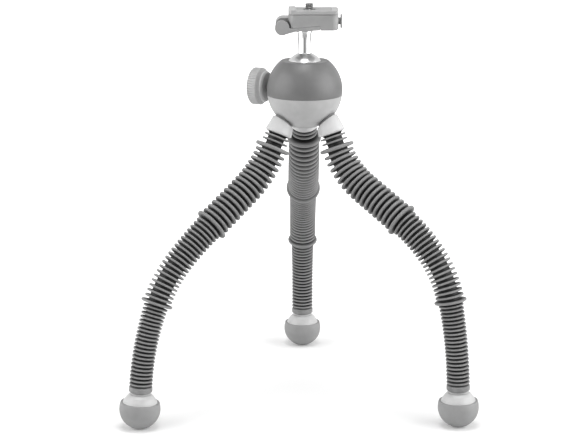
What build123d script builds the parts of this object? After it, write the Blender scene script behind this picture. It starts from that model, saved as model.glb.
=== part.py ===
"""Table tripod with three bendable ribbed legs, a ball head and a quick-release clamp.

Millimetres, +Z up. The origin is on the floor, in the middle of the box round the whole tripod.
Each leg lies in an upright plane of its own and is bent until its foot stands on the floor.
"""

import math
import os
from collections import namedtuple

from build123d import *

os.makedirs("parts", exist_ok=True)

# Fits: a running gap where pieces move, a seat gap where they are fixed, and the overrun of a cut
running_gap = 0.3
seat_gap = 0.1
cut_over = 2.0

# Legs: where the widest collar sits, and the collar-to-collar lengths down to the foot's centre
collar_reach = 28.7
collar_drop = 42.6
upper_length = 76.6
middle_length = 73.5
lower_length = 67.0
ankle_length = 15.5

# Bends: each leg's angle from upright at the collar, at each half section and at the end
left_azimuth = 210.7
right_azimuth = 329.1
back_azimuth = 90.4
left_bends = (25.6, 50.5, 52.4, 43.9, 22.2, 3.7)
right_bends = (22.0, 57.6, 56.3, 38.9, 12.0, 1.6)
back_bends = (25.4, 53.0, 53.9, 44.1, 20.2, 0.0)

# Sleeve ribs: outer radii at each section's ends, thickness at the core and at the rim
root_rib_radius = 10.1
upper_rib_radius = 12.1
upper_end_radius = 12.5
middle_rib_radius = 11.3
middle_end_radius = 10.8
lower_rib_radius = 9.4
lower_end_radius = 8.8
upper_rib_base = 2.9
upper_rib_rim = 1.9
middle_rib_base = 2.2
middle_rib_rim = 1.4
lower_rib_base = 1.9
lower_rib_rim = 1.2
core_share = 0.65
flare_power = 3.0

# Collars: the four wide rings that part a leg's sections
top_collar_radius = 13.4
top_collar_width = 3.5
knee_collar_radius = 13.8
knee_collar_width = 3.1
ankle_collar_radius = 12.2
ankle_collar_width = 2.6
collar_bevel = 0.5
root_rib_pitch = 3.7

# Ribs in each link of a leg, from the hub down
root_ribs = 2
hip_ribs = 2
upper_ribs = 7
knee_ribs = 7
middle_ribs = 9
ankle_ribs = 10
lower_ribs = 10
end_ribs = 11

# Leg joints: a ball of this share of the core, and the wire that runs through all the links
ball_share = 0.68
wire_radius = 1.6
wire_bore_radius = 2.4
wire_above_collar = 25.0
wire_in_ferrule = 3.0

# Leg caps: cones between the sleeve's root and the bowl
cap_start = 11.4
cap_length = 18.0
cap_wide_radius = 10.6
cap_narrow_radius = 7.4
cap_lip = 1.0
cap_wall = 1.3
cap_gap = 1.8

# Feet: a rubber bowl, the cap nested in it and the ferrule that carries both
foot_radius = 15.6
foot_flat = 0.4
foot_rim_height = 5.2
foot_cap_radius = 14.2
foot_cap_depth = 3.0
foot_neck_radius = 7.6
foot_neck_height = 13.0
ferrule_radius = 8.9
ferrule_width = 4.2
ferrule_bevel = 0.6
foot_stud_radius = 3.0
foot_stud_length = 12.0

# Housing: a sphere in two halves, cut flat on top, with the ball seated in its upper half
housing_radius = 29.0
seam_drop = 4.0
housing_top = 22.6
bowl_mid_radius = 21.7
bowl_mid_drop = 20.2
bowl_foot_radius = 9.5
bowl_drop = 28.5
bowl_wall = 2.6
shell_wall = 3.2
shell_shoulder = 16.0
lip_height = 2.0
lip_wall = 1.2
notch_azimuth = 65.0
notch_slack = 0.5

# Ball with its stem, and the seat under it
ball_radius = 15.0
ball_lift = 14.0
stem_radius = 5.1
stem_flange_height = 44.0
stem_flange_radius = 5.9
stem_flange_width = 1.6
neck_radius = 4.6
seat_radius = 11.6
seat_low = -6.0
seat_top = 2.2
seat_hole_radius = 3.5

# Lock knob, its screw and bush, and the shoe that the screw draws along under the seat
knob_azimuth = 157.0
knob_lift = 0.3
knob_stand = 2.0
knob_step_length = 3.6
knob_rim_length = 8.6
knob_step_radius = 11.9
knob_radius = 14.35
knob_bevel = 1.2
knob_dish_radius = 9.5
knob_dish_depth = 1.0
knob_grooves = 46
knob_groove_radius = 0.5
bush_radius = 4.5
bush_length = 7.6
bush_gap = 0.4
lock_screw_radius = 2.5
lock_screw_start = 12.6
lock_screw_sink = 6.0
shoe_start = -9.0
shoe_block_start = 14.5
shoe_end = 20.0
shoe_width = 10.0
shoe_height = 4.6
shoe_top = 4.6
shoe_ramp = 0.6

# Hub in the bowl, where the three wires are held, and the screws that join the housing
hub_top = -18.0
hub_post_radius = 8.0
housing_screw_radius = 1.25
housing_screw_head_radius = 2.3
housing_screw_head_height = 1.6
housing_screw_reach = 20.4
housing_screw_low = -16.0
housing_screw_top = 3.0
boss_radius = 3.4

# Clamp body, measured from the stem's axis along X and Y and from the housing's centre along Z
clamp_left = -12.5
clamp_right = 25.4
clamp_depth = 28.0
clamp_low = 47.1
clamp_top = 58.8
clamp_corner = 5.0
clamp_edge = 0.8
channel_wall = 3.2

# Plate: the quick-release plate on its dovetail rail, with its pad and the camera screw
plate_gap = 0.15
plate_thickness = 2.8
plate_corner = 3.0
plate_edge = 0.5
plate_lip_width = 5.6
plate_lip_height = 0.7
rail_height = 2.5
rail_wide = 20.0
rail_narrow = 17.0
pad_margin = 0.9
pad_right = 20.4
pad_depth = 22.0
pad_thickness = 0.8
pad_corner = 2.5
camera_screw_x = 3.4
camera_screw_radius = 3.175
camera_screw_length = 4.4
camera_shank_radius = 2.5
camera_screw_head_radius = 6.4
camera_screw_head_height = 1.9
camera_screw_bevel = 0.5
keeper_radius = 4.6
keeper_thickness = 0.7
keeper_depth = 1.0

# Clamp bolt, the jaw that grips the rail, the cam lever on its pin, and the catch at the far end
bolt_radius = 2.5
bolt_head_radius = 4.2
bolt_head_height = 2.4
bolt_reach = 8.0
jaw_left = -6.0
jaw_right = 19.0
jaw_height = 7.0
jaw_back = 0.4
lever_pin_x = -17.1
lever_pin_rise = 2.6
lever_pin_radius = 1.5
pin_fit = 0.05
lever_lobe_drop = 0.7
lever_lobe_radius = 5.5
lever_thickness = 6.5
lever_skin = 1.2
lever_gap = 0.15
lever_tip_x = 10.5
lever_tip_rise = 1.7
lever_tip_radius = 1.5
lever_waist_x = -7.5
lever_waist_thickness = 2.6
ear_rise = 1.1
ear_radius = 5.2
ear_back = 9.0
catch_width = 9.0
catch_height = 10.2
catch_rise = 5.7
catch_stand = 2.9
catch_corner = 1.4
catch_stem_radius = 2.6
catch_stem_length = 4.6
catch_stroke = 1.5
catch_spring_wall = 0.5

Ring = namedtuple("Ring", "at radius core base rim")
Leg = namedtuple("Leg", "name azimuth bends")


def save(name, builder):
    """Labels a finished piece and writes it under its own name."""
    builder.part.label = name
    export_step(builder.part, f"parts/{name}.step")


# The centreline of a leg is a run of tangent arcs in an upright plane
section_lengths = (upper_length, middle_length, lower_length)
foot_at = sum(section_lengths) + ankle_length


def arcs(bends):
    """Start, length, first angle and last angle of each arc, down to the end of the sleeve."""
    halves = (
        upper_length / 2,
        upper_length / 2,
        middle_length / 2,
        middle_length / 2,
        lower_length,
    )
    start = 0.0
    for length, first, last in zip(halves, bends, bends[1:]):
        yield start, length, math.radians(first), math.radians(last)
        start += length


def walk(bends, at):
    """Reach from the head's axis, fall below the top collar and angle from upright, at a length."""
    angle = math.radians(bends[0])
    reach, fall = collar_reach, 0.0
    if at <= 0:
        return reach + at * math.sin(angle), at * math.cos(angle), angle
    for start, length, first, last in arcs(bends):
        run = min(at - start, length)
        if run <= 0:
            return reach, fall, angle
        rate = (last - first) / length
        angle = first + rate * run
        if abs(rate * run) < 1e-6:
            reach += run * math.sin(first)
            fall += run * math.cos(first)
        else:
            reach += (math.cos(first) - math.cos(angle)) / rate
            fall += (math.sin(angle) - math.sin(first)) / rate
    run = max(at - sum(section_lengths), 0)
    return reach + run * math.sin(angle), fall + run * math.cos(angle), angle


# The left leg's bends set how high the tripod stands, and the others are settled to it
leg_fall = walk(left_bends, foot_at)[1]
collar_height = foot_radius - foot_flat + leg_fall
head_height = collar_height + collar_drop


def settled(bends):
    """The bends, opened or closed alike below the first until the foot stands on the floor."""
    closed, opened = -30.0, 30.0
    for _ in range(60):
        trim = (closed + opened) / 2
        tried = (bends[0], *(bend + trim for bend in bends[1:]))
        if walk(tried, foot_at)[1] < leg_fall:
            opened = trim
        else:
            closed = trim
    return tried


legs = (
    Leg("left", left_azimuth, settled(left_bends)),
    Leg("right", right_azimuth, settled(right_bends)),
    Leg("back", back_azimuth, settled(back_bends)),
)

# The head's axis stands off the middle of the footprint, because the legs are bent unalike
foot_reaches = [walk(leg.bends, foot_at)[0] for leg in legs]
foot_xs = [r * math.cos(math.radians(leg.azimuth)) for r, leg in zip(foot_reaches, legs)]
foot_ys = [r * math.sin(math.radians(leg.azimuth)) for r, leg in zip(foot_reaches, legs)]
head_x = -(min(foot_xs) + max(foot_xs)) / 2
head_y = -(min(foot_ys) + max(foot_ys)) / 2


def leg_point(leg, at):
    """A point on a leg's centreline."""
    reach, fall, _ = walk(leg.bends, at)
    turn = math.radians(leg.azimuth)
    return Vector(
        head_x + reach * math.cos(turn), head_y + reach * math.sin(turn), collar_height - fall
    )


def leg_plane(leg, at, along=0.0):
    """The plane square to a leg at a length down it, moved along the leg there."""
    angle = walk(leg.bends, at)[2]
    turn = math.radians(leg.azimuth)
    outward = Vector(math.cos(turn), math.sin(turn), 0)
    down_leg = outward * math.sin(angle) - Vector(0, 0, math.cos(angle))
    sideways = Vector(-math.sin(turn), math.cos(turn), 0)
    return Plane(origin=leg_point(leg, at) + down_leg * along, x_dir=sideways, z_dir=down_leg)


def section_rings(start, length, above, below, count, first, last, base, rim):
    """The evenly spaced ribs of one section, flaring towards its top."""
    gap = (length - above - below - count * base) / (count + 1)
    for number in range(count):
        down = 1 - number / (count - 1)
        radius = last + (first - last) * down**flare_power
        middle = start + above + gap + base / 2 + number * (gap + base)
        yield Ring(middle, radius, radius * core_share, base, rim)


def collar(at, radius, width, core):
    """A wide ring with bevelled rims."""
    return Ring(at, radius, core, width, width - 2 * collar_bevel)


upper_count = hip_ribs + upper_ribs + knee_ribs
middle_count = middle_ribs + ankle_ribs
lower_count = lower_ribs + end_ribs
knee_at = upper_length
ankle_at = upper_length + middle_length
end_at = ankle_at + lower_length
root_base = upper_rib_base * core_share
root_start = -(top_collar_width / 2 + root_rib_pitch * core_share + root_base / 2)
rings = [
    *(
        Ring(
            root_start - (root_ribs - 1 - number) * root_rib_pitch,
            root_rib_radius,
            root_rib_radius * core_share,
            root_base,
            upper_rib_rim * core_share,
        )
        for number in range(root_ribs)
    ),
    collar(0.0, top_collar_radius, top_collar_width, upper_rib_radius * core_share),
    *section_rings(
        0.0,
        upper_length,
        top_collar_width / 2,
        knee_collar_width / 2,
        upper_count,
        upper_rib_radius,
        upper_end_radius,
        upper_rib_base,
        upper_rib_rim,
    ),
    collar(knee_at, knee_collar_radius, knee_collar_width, upper_end_radius * core_share),
    *section_rings(
        knee_at,
        middle_length,
        knee_collar_width / 2,
        ankle_collar_width / 2,
        middle_count,
        middle_rib_radius,
        middle_end_radius,
        middle_rib_base,
        middle_rib_rim,
    ),
    collar(ankle_at, ankle_collar_radius, ankle_collar_width, middle_end_radius * core_share),
    *section_rings(
        ankle_at,
        lower_length,
        ankle_collar_width / 2,
        ferrule_width / 2,
        lower_count,
        lower_rib_radius,
        lower_end_radius,
        lower_rib_base,
        lower_rib_rim,
    ),
]

# Each link is a run of rings, and the joint to the next lies in the middle of the gap after it
link_counts = {
    "root": root_ribs,
    "hip": 1 + hip_ribs,
    "upper": upper_ribs,
    "knee": knee_ribs + 1,
    "middle": middle_ribs,
    "ankle": ankle_ribs + 1,
    "lower": lower_ribs,
    "end": end_ribs,
}


def gap_middle(above, below):
    """The middle of the gap between two rings."""
    return (above.at + above.base / 2 + below.at - below.base / 2) / 2


links = []
taken = 0
for link_name, count in link_counts.items():
    own = rings[taken : taken + count]
    taken += count
    after = rings[taken] if taken < len(rings) else None
    joint_at = gap_middle(own[-1], after) if after else None
    joint_radius = min(own[-1].core, after.core) * ball_share if after else 0.0
    links.append((link_name, own, joint_at, joint_radius))


def wire_route(leg, start, end):
    """The tangent arcs and straight ends of a leg's centreline, drawn in the open line builder."""
    stops = [start, 0.0]
    stops += [first + length for first, length, *_ in arcs(leg.bends)]
    stops.append(end)
    for above, below in zip(stops, stops[1:]):
        turned = walk(leg.bends, below)[2] - walk(leg.bends, above)[2]
        if abs(turned) < 1e-3:
            Line(leg_point(leg, above), leg_point(leg, below))
        else:
            middle = leg_point(leg, (above + below) / 2)
            ThreePointArc(leg_point(leg, above), middle, leg_point(leg, below))


# The bowl's outer form, which also trims the leg caps and the sleeves' roots where they meet it
head = Plane(origin=(head_x, head_y, head_height))
head_axis = Axis((head_x, head_y, head_height), (0, 0, 1))
side = Plane(origin=head.origin, x_dir=(1, 0, 0), z_dir=(0, -1, 0))
seam_radius = math.sqrt(housing_radius**2 - seam_drop**2)


def bowl_outline(inset):
    """Half of the bowl's section, drawn in the open line builder, thinner all round by the inset."""
    ThreePointArc(
        (seam_radius - inset, -seam_drop),
        (bowl_mid_radius - inset, -bowl_mid_drop + inset),
        (bowl_foot_radius - inset, -bowl_drop + inset),
    )
    Polyline(
        (bowl_foot_radius - inset, -bowl_drop + inset),
        (0, -bowl_drop + inset),
        (0, -seam_drop),
        (seam_radius - inset, -seam_drop),
    )


with BuildPart() as bowl_form:
    with BuildSketch(side):
        with BuildLine():
            bowl_outline(-seat_gap)
        make_face()
    revolve(axis=head_axis)

# The leg caps stop short of the bowl, and the sleeves' roots show in the gap
with BuildPart() as cap_form:
    with BuildSketch(side):
        with BuildLine():
            bowl_outline(-cap_gap)
        make_face()
    revolve(axis=head_axis)

# Legs: for each, the cap at the bowl, the chain of ribbed links, the wire in it and the foot
cap_cone = (
    (-cap_start, cap_wide_radius - cap_lip),
    (-cap_start - cap_lip, cap_wide_radius),
    (-cap_start - cap_length, cap_narrow_radius),
)
bores = []
for leg in legs:
    with BuildPart() as bore:
        with BuildLine() as route:
            wire_route(leg, -wire_above_collar - cut_over, end_at + wire_in_ferrule)
        with BuildSketch(leg_plane(leg, -wire_above_collar - cut_over)):
            Circle(wire_bore_radius)
        sweep(path=route.line)
    bores.append(bore.part)

    with BuildPart() as wire:
        with BuildLine() as route:
            wire_route(leg, -wire_above_collar, end_at + wire_in_ferrule - seat_gap)
        with BuildSketch(leg_plane(leg, -wire_above_collar)):
            Circle(wire_radius)
        sweep(path=route.line)
    save(f"{leg.name}_leg_wire", wire)

    socket_at, socket_radius = None, 0.0
    for link_name, own, joint_at, joint_radius in links:
        with BuildPart() as link:
            if link_name == "root":
                for along, radius in reversed(cap_cone[1:]):
                    with BuildSketch(leg_plane(leg, along)):
                        Circle(radius - cap_wall)
            for ring in own:
                for along, radius in (
                    (-ring.base / 2, ring.core),
                    (-ring.rim / 2, ring.radius),
                    (ring.rim / 2, ring.radius),
                    (ring.base / 2, ring.core),
                ):
                    with BuildSketch(leg_plane(leg, ring.at, along)):
                        Circle(radius)
            loft(ruled=True)
            if joint_at is not None:
                with Locations(leg_point(leg, joint_at)):
                    Sphere(joint_radius)
            if socket_at is not None:
                with Locations(leg_point(leg, socket_at)):
                    Sphere(socket_radius + running_gap, mode=Mode.SUBTRACT)
            if link_name == "root":
                add(bowl_form.part, mode=Mode.SUBTRACT)
            add(bore.part, mode=Mode.SUBTRACT)
        save(f"{leg.name}_leg_{link_name}", link)
        socket_at, socket_radius = joint_at, joint_radius

    with BuildPart() as leg_cap:
        for along, radius in cap_cone:
            with BuildSketch(leg_plane(leg, along)):
                Circle(radius)
        loft(ruled=True)
        for along, radius in cap_cone[1:]:
            with BuildSketch(leg_plane(leg, along)):
                Circle(radius - cap_wall + seat_gap)
        loft(ruled=True, mode=Mode.SUBTRACT)
        with BuildSketch(leg_plane(leg, -cap_start - cap_lip)):
            Circle(cap_wide_radius - cap_wall + seat_gap)
        extrude(amount=cap_lip + cut_over, mode=Mode.SUBTRACT)
        add(cap_form.part, mode=Mode.SUBTRACT)
    save(f"{leg.name}_leg_cap", leg_cap)

    # The ferrule ends the sleeve, and its stud carries the foot
    ferrule_plane = leg_plane(leg, end_at)
    foot_plane = leg_plane(leg, foot_at)
    with BuildPart() as ferrule:
        with BuildSketch(ferrule_plane.offset(-ferrule_width / 2)):
            Circle(ferrule_radius)
        extrude(amount=ferrule_width)
        chamfer(ferrule.edges().filter_by(GeomType.CIRCLE), ferrule_bevel)
        with BuildSketch(ferrule_plane.offset(ferrule_width / 2)):
            Circle(foot_stud_radius)
        extrude(amount=foot_stud_length)
        add(bore.part, mode=Mode.SUBTRACT)
    save(f"{leg.name}_leg_ferrule", ferrule)

    # Sketches of the foot lie in a plane through its axis, with local Y up the leg
    foot_side = Plane(origin=foot_plane.origin, x_dir=foot_plane.x_dir, z_dir=foot_plane.y_dir)
    foot_axis = Axis(foot_plane.origin, -foot_plane.z_dir)
    cap_rim_radius = math.sqrt(foot_cap_radius**2 - foot_cap_depth**2)
    neck_on_cap = math.sqrt(foot_cap_radius**2 - foot_neck_radius**2)
    with BuildPart() as foot_cap:
        with BuildSketch(foot_side):
            with BuildLine():
                ThreePointArc(
                    (foot_neck_radius, neck_on_cap),
                    (foot_cap_radius, 0),
                    (cap_rim_radius, -foot_cap_depth),
                )
                Polyline(
                    (cap_rim_radius, -foot_cap_depth),
                    (0, -foot_cap_depth),
                    (0, foot_neck_height),
                    (foot_neck_radius, foot_neck_height),
                    (foot_neck_radius, neck_on_cap),
                )
            make_face()
        revolve(axis=foot_axis)
        with BuildSketch(foot_plane.offset(-foot_neck_height - cut_over)):
            Circle(foot_stud_radius + seat_gap)
        extrude(amount=foot_stud_length + seat_gap + cut_over, mode=Mode.SUBTRACT)
    save(f"{leg.name}_foot_cap", foot_cap)

    rim_radius = math.sqrt(foot_radius**2 - foot_rim_height**2)
    inner_radius = foot_cap_radius + seat_gap
    inner_rim = math.sqrt(inner_radius**2 - foot_rim_height**2)
    inner_floor = math.sqrt(inner_radius**2 - foot_cap_depth**2)
    with BuildPart() as foot_pad:
        with BuildSketch(foot_side):
            with BuildLine():
                ThreePointArc((0, -foot_radius), (foot_radius, 0), (rim_radius, foot_rim_height))
                Line((rim_radius, foot_rim_height), (inner_rim, foot_rim_height))
                ThreePointArc(
                    (inner_rim, foot_rim_height),
                    (inner_radius, 0),
                    (inner_floor, -foot_cap_depth - seat_gap),
                )
                Polyline(
                    (inner_floor, -foot_cap_depth - seat_gap),
                    (0, -foot_cap_depth - seat_gap),
                    (0, -foot_radius),
                )
            make_face()
        revolve(axis=foot_axis)
        split(bisect_by=Plane.XY, keep=Keep.TOP)
    save(f"{leg.name}_foot_pad", foot_pad)


# Housing: the light bowl below the seam and the darker shell above it
knob_start = housing_radius + knob_stand
knob_step = knob_start + knob_step_length
knob_end = knob_step + knob_rim_length
bush_end = knob_start - bush_gap
knob_turn = math.radians(knob_azimuth)
knob_out = Vector(math.cos(knob_turn), math.sin(knob_turn), 0)
knob_side = Vector(-math.sin(knob_turn), math.cos(knob_turn), 0)


def knob_plane(out):
    """The upright plane square to the knob's axis at a distance out from the head's axis."""
    origin = head.origin + knob_out * out + Vector(0, 0, knob_lift)
    return Plane(origin=origin, x_dir=knob_side, z_dir=knob_out)


bowl_inner = seam_radius - bowl_wall
with BuildPart() as lower_bowl:
    with BuildSketch(side):
        with BuildLine():
            bowl_outline(0)
        make_face()
    revolve(axis=head_axis)
    with BuildSketch(side):
        with BuildLine():
            bowl_outline(bowl_wall)
        make_face()
    revolve(axis=head_axis, mode=Mode.SUBTRACT)
    # The lip that stands up inside the shell
    with BuildSketch(head.offset(-seam_drop - bowl_wall)):
        Circle(bowl_inner + lip_wall / 2)
        Circle(bowl_inner - lip_wall / 2, mode=Mode.SUBTRACT)
    extrude(amount=bowl_wall + lip_height)
    # Bosses that the housing screws hold
    with BuildSketch(head.offset(housing_screw_low)):
        with PolarLocations(housing_screw_reach, 3, start_angle=left_azimuth):
            Circle(boss_radius)
    extrude(amount=-seam_drop - housing_screw_low)
    with BuildSketch(head.offset(housing_screw_low)):
        with PolarLocations(housing_screw_reach, 3, start_angle=left_azimuth):
            Circle(housing_screw_radius + seat_gap)
    extrude(amount=-seam_drop - housing_screw_low, mode=Mode.SUBTRACT)
    # Below each boss, the way in for its screw, which the leg's cap hides
    with BuildSketch(head.offset(housing_screw_low)):
        with PolarLocations(housing_screw_reach, 3, start_angle=left_azimuth):
            Circle(housing_screw_head_radius + seat_gap)
    extrude(amount=-housing_radius, mode=Mode.SUBTRACT)
    # The knob's bush passes through the lip, and the wires through the floor
    with BuildSketch(knob_plane(shoe_end)):
        Circle(bush_radius + seat_gap)
    extrude(amount=housing_radius - shoe_end, mode=Mode.SUBTRACT)
    for bore in bores:
        add(bore, mode=Mode.SUBTRACT)
save("lower_bowl", lower_bowl)

ball_room = ball_radius + running_gap
mouth_radius = math.sqrt(ball_room**2 - (housing_top - ball_lift) ** 2)
shoulder_radius = math.sqrt(ball_room**2 - (shell_shoulder - ball_lift) ** 2)
top_radius = math.sqrt(housing_radius**2 - housing_top**2)
shell_inner = bowl_inner + lip_wall / 2 + seat_gap
cavity_top_radius = seam_radius - 2 * shell_wall
notch_width = 2 * (stem_radius + notch_slack)
with BuildPart() as upper_shell:
    with BuildSketch(side):
        with BuildLine():
            ThreePointArc((seam_radius, -seam_drop), (housing_radius, 0), (top_radius, housing_top))
            Line((top_radius, housing_top), (mouth_radius, housing_top))
            RadiusArc((mouth_radius, housing_top), (shoulder_radius, shell_shoulder), ball_room)
            Polyline(
                (shoulder_radius, shell_shoulder),
                (cavity_top_radius, shell_shoulder),
                (shell_inner, -seam_drop + lip_height + shell_wall),
                (shell_inner, -seam_drop),
                (seam_radius, -seam_drop),
            )
        make_face()
    revolve(axis=head_axis)
    # Bosses over the screws, the slot that lets the stem drop to the side, and the knob's hole
    with BuildSketch(head.offset(-seam_drop)):
        with PolarLocations(housing_screw_reach, 3, start_angle=left_azimuth):
            Circle(boss_radius)
    extrude(amount=seam_drop + shell_shoulder)
    with BuildSketch(head.offset(-seam_drop)):
        with PolarLocations(housing_screw_reach, 3, start_angle=left_azimuth):
            Circle(housing_screw_radius + seat_gap)
    extrude(amount=seam_drop + housing_screw_top + seat_gap, mode=Mode.SUBTRACT)
    notch = Plane(
        origin=head.origin + Vector(0, 0, ball_lift),
        x_dir=(0, 0, 1),
        z_dir=(math.cos(math.radians(notch_azimuth)), math.sin(math.radians(notch_azimuth)), 0),
    )
    with BuildSketch(notch):
        Circle(notch_width / 2)
        with Locations((housing_radius / 2, 0)):
            Rectangle(housing_radius, notch_width)
    extrude(amount=housing_radius, mode=Mode.SUBTRACT)
    with BuildSketch(knob_plane(shoe_end)):
        Circle(bush_radius + seat_gap)
    extrude(amount=housing_radius - shoe_end, mode=Mode.SUBTRACT)
save("upper_shell", upper_shell)

# Hub: fills the bowl's floor, holds the wires' ends and carries the shoe on its post
shoe_low = seat_low - running_gap - shoe_height
with BuildPart() as hub:
    with BuildSketch(side):
        with BuildLine():
            bowl_outline(bowl_wall + seat_gap)
        make_face()
    revolve(axis=head_axis)
    split(bisect_by=head.offset(hub_top), keep=Keep.BOTTOM)
    with BuildSketch(head.offset(hub_top)):
        Circle(hub_post_radius)
    extrude(amount=shoe_low - running_gap - hub_top)
    for leg in legs:
        with BuildSketch(leg_plane(leg, 0)):
            Circle(wire_radius + seat_gap)
        extrude(amount=-wire_above_collar - seat_gap, mode=Mode.SUBTRACT)
save("hub", hub)

with BuildPart() as housing_screws:
    with BuildSketch(head.offset(housing_screw_low)):
        with PolarLocations(housing_screw_reach, 3, start_angle=left_azimuth):
            Circle(housing_screw_radius)
    extrude(amount=housing_screw_top - housing_screw_low)
    with BuildSketch(head.offset(housing_screw_low)):
        with PolarLocations(housing_screw_reach, 3, start_angle=left_azimuth):
            Circle(housing_screw_head_radius)
    extrude(amount=-housing_screw_head_height)
save("housing_screws", housing_screws)

# Ball head: the polished ball with its stem, the cup under it and the shoe that lifts the cup
neck_top = clamp_low - running_gap
stem_base = ball_lift + math.sqrt(ball_radius**2 - stem_radius**2)
with BuildPart() as ball_stem:
    with BuildSketch(side):
        with BuildLine():
            ThreePointArc(
                (0, ball_lift - ball_radius), (ball_radius, ball_lift), (stem_radius, stem_base)
            )
            Polyline(
                (stem_radius, stem_base),
                (stem_radius, stem_flange_height),
                (stem_flange_radius, stem_flange_height),
                (stem_flange_radius, stem_flange_height + stem_flange_width),
                (neck_radius, stem_flange_height + stem_flange_width),
                (neck_radius, neck_top),
                (0, neck_top),
                (0, ball_lift - ball_radius),
            )
        make_face()
    revolve(axis=head_axis)
    with BuildSketch(head.offset(neck_top)):
        Circle(bolt_radius + running_gap)
    extrude(amount=-bolt_reach - running_gap, mode=Mode.SUBTRACT)
save("ball_stem", ball_stem)

with BuildPart() as ball_seat:
    with BuildSketch(head.offset(seat_low)):
        Circle(seat_radius)
        Circle(seat_hole_radius, mode=Mode.SUBTRACT)
    extrude(amount=seat_top - seat_low)
    with Locations(head.origin + Vector(0, 0, ball_lift)):
        Sphere(ball_radius + running_gap, mode=Mode.SUBTRACT)
    chamfer(ball_seat.edges().group_by(Axis.Z)[0].sort_by(SortBy.LENGTH)[-1], shoe_ramp)
save("ball_seat", ball_seat)

# The shoe's side view lies in the upright plane through the knob's axis
shoe_side = Plane(origin=head.origin, x_dir=knob_out, z_dir=-knob_side)
with BuildPart() as brake_shoe:
    with BuildSketch(shoe_side):
        with BuildLine():
            Polyline(
                (shoe_start, shoe_low),
                (shoe_end, shoe_low),
                (shoe_end, shoe_top),
                (shoe_block_start, shoe_top),
                (shoe_block_start, seat_low - running_gap),
                (shoe_start, seat_low - running_gap - shoe_ramp),
                close=True,
            )
        make_face()
    extrude(amount=shoe_width / 2, both=True)
    with BuildSketch(knob_plane(shoe_block_start - cut_over)):
        Circle(lock_screw_radius + running_gap)
    extrude(amount=shoe_end - shoe_block_start + 2 * cut_over, mode=Mode.SUBTRACT)
save("brake_shoe", brake_shoe)

# Lock knob on its screw, which turns in a bush in the shell
with BuildPart() as knob_bush:
    with BuildSketch(knob_plane(bush_end - bush_length)):
        Circle(bush_radius)
        Circle(lock_screw_radius + running_gap, mode=Mode.SUBTRACT)
    extrude(amount=bush_length)
save("knob_bush", knob_bush)

with BuildPart() as lock_screw:
    with BuildSketch(knob_plane(lock_screw_start)):
        Circle(lock_screw_radius)
    extrude(amount=knob_start + lock_screw_sink - lock_screw_start)
save("lock_screw", lock_screw)

with BuildPart() as lock_knob:
    with BuildSketch(knob_plane(knob_start)):
        Circle(knob_step_radius)
    extrude(amount=knob_step - knob_start)
    with BuildSketch(knob_plane(knob_step)):
        Circle(knob_radius)
    extrude(amount=knob_end - knob_step)
    chamfer(lock_knob.edges().filter_by(GeomType.CIRCLE), knob_bevel)
    with BuildSketch(knob_plane(knob_end)):
        Circle(knob_dish_radius)
    extrude(amount=-knob_dish_depth, mode=Mode.SUBTRACT)
    with BuildSketch(knob_plane(knob_step + knob_bevel)):
        with PolarLocations(knob_radius, knob_grooves):
            Circle(knob_groove_radius)
    extrude(amount=knob_end - knob_step - 2 * knob_bevel, mode=Mode.SUBTRACT)
    with BuildSketch(knob_plane(knob_start)):
        Circle(lock_screw_radius + seat_gap)
    extrude(amount=lock_screw_sink + seat_gap, mode=Mode.SUBTRACT)
save("lock_knob", lock_knob)

# Clamp: a block on the stem's neck, with a dovetail channel along X that is open at the left
clamp_middle = (clamp_left + clamp_right) / 2
clamp_length = clamp_right - clamp_left
clamp_front = -clamp_depth / 2
front_side = Plane(origin=head.origin + Vector(0, clamp_front, 0), x_dir=(1, 0, 0), z_dir=(0, -1, 0))
rail_top = clamp_top + plate_gap
rail_low = rail_top - rail_height
rail_end = clamp_right - channel_wall - running_gap
channel_low = rail_low - plate_gap
lever_back = clamp_front + lever_thickness
lever_pin_z = clamp_low + lever_pin_rise
lever_tip_z = clamp_low + lever_tip_rise
catch_middle = clamp_low + catch_rise
jaw_low = clamp_top - jaw_height


def rail_line(gap, low, top):
    """The dovetail's section on the left end, wider by a gap all round, in the open line builder."""
    slope = (rail_wide - rail_narrow) / 2 / rail_height
    low_half = rail_wide / 2 + gap + slope * (rail_low - low)
    top_half = rail_wide / 2 + gap - slope * (top - rail_low)
    Polyline(
        (-low_half, low),
        (low_half, low),
        (top_half, top),
        (-top_half, top),
        close=True,
    )


def lever_line(gap):
    """The lever's tail seen from the front, grown by a gap, in the open line builder."""
    lobe_z = lever_pin_z - lever_lobe_drop
    Polyline(
        (lever_tip_x, lever_tip_z - lever_tip_radius - gap),
        (lever_waist_x, lever_tip_z - lever_waist_thickness - gap),
        (lever_pin_x, lobe_z - lever_lobe_radius - gap),
        (lever_pin_x, lobe_z + gap),
        (lever_waist_x, lever_tip_z + gap),
        (lever_tip_x, lever_tip_z + lever_tip_radius + gap),
    )
    ThreePointArc(
        (lever_tip_x, lever_tip_z + lever_tip_radius + gap),
        (lever_tip_x + lever_tip_radius + gap, lever_tip_z),
        (lever_tip_x, lever_tip_z - lever_tip_radius - gap),
    )


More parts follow.
